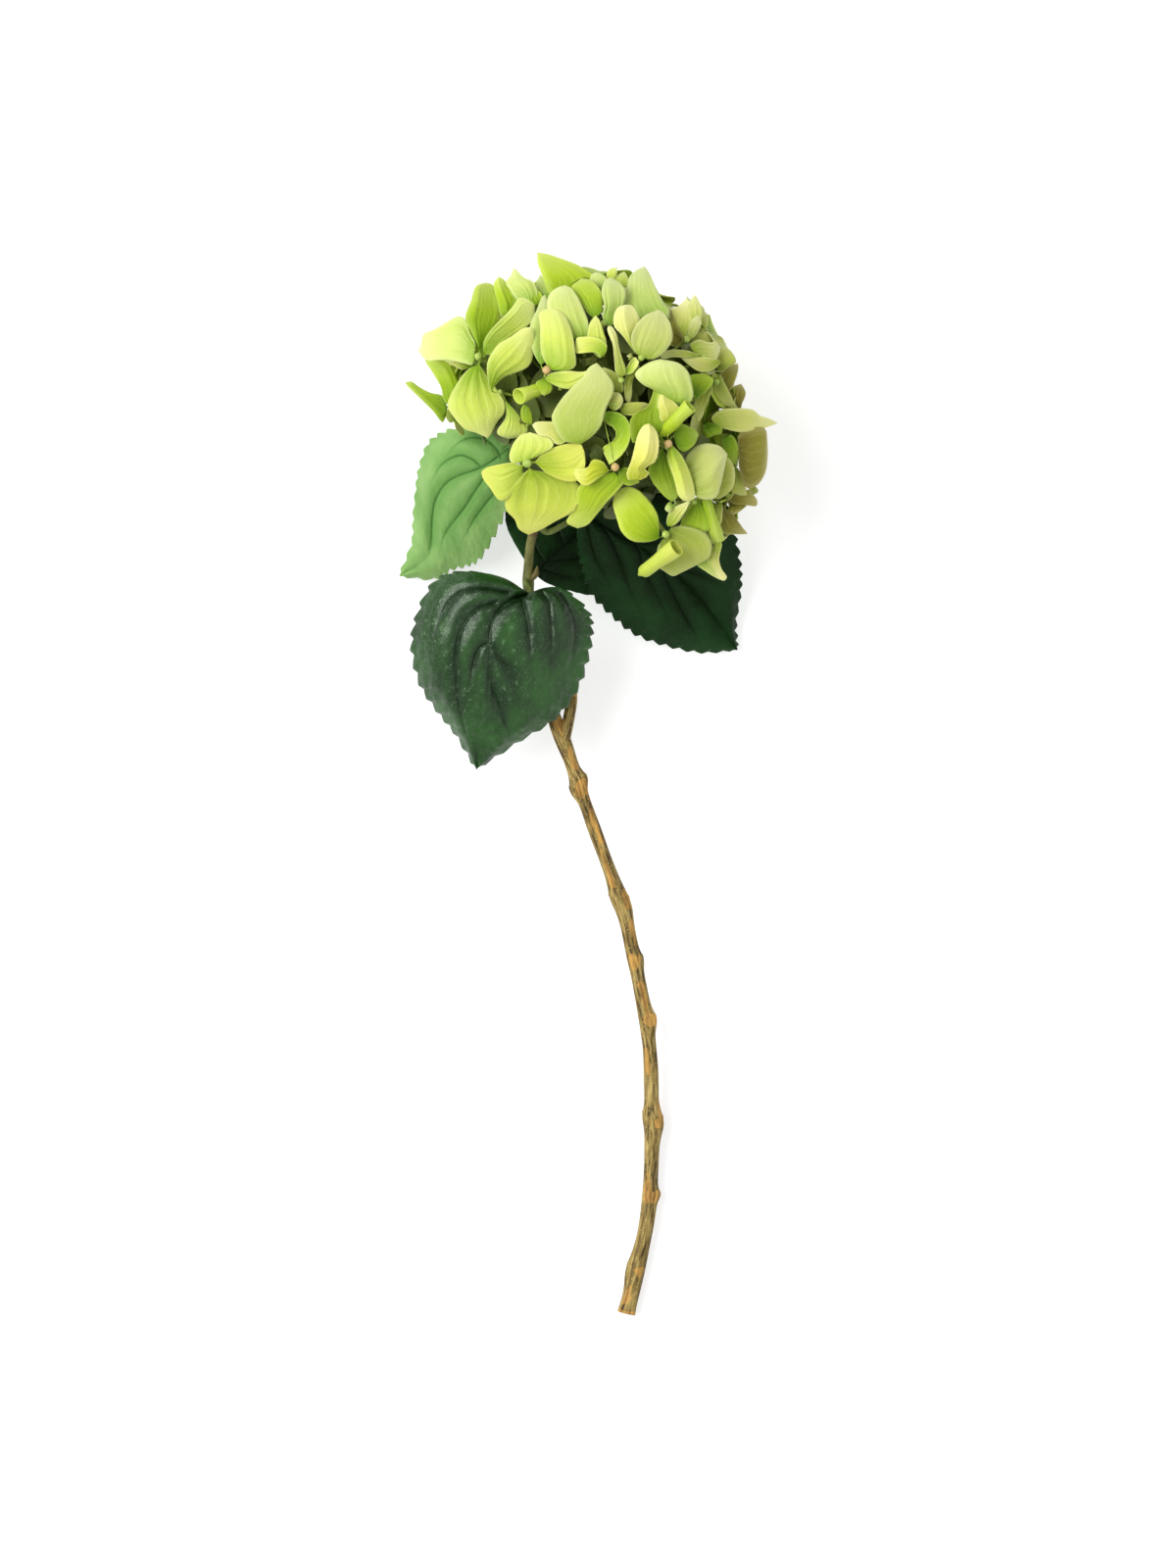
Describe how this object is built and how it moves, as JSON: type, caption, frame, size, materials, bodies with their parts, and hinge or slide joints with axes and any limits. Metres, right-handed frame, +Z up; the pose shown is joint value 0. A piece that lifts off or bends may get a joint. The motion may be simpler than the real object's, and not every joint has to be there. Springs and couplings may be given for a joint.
{
  "type": "cut hydrangea",
  "caption": "Cut mophead hydrangea lying on its side: a round head of four-sepalled florets, toothed leaves and a bare woody stem.",
  "frame": {"origin": "bottom centre of the flower's box as it lies: on the surface under it, half way along and across it", "axes": "+Z up from the surface, +Y along the stem from its cut end to the flower head, +X to the right seen from above with the head up the page"},
  "size_m": [0.176, 0.4942, 0.1373],
  "materials": {
    "sepal": "soft matte petal, lime green to cream",
    "leaf": "glossy quilted dark green leaf",
    "pale_leaf": "satin light green leaf",
    "green_stem": "smooth olive green stalk",
    "bark": "matte flaking bark, olive and ochre"
  },
  "bodies": {
    "root": {"woody_cane": "bark", "flower_stalk": "green_stem", "leaf_front": "leaf", "leaf_left": "pale_leaf", "leaf_right": "leaf", "leaf_back": "leaf", "bloom": "sepal"}
  },
  "joints": []
}
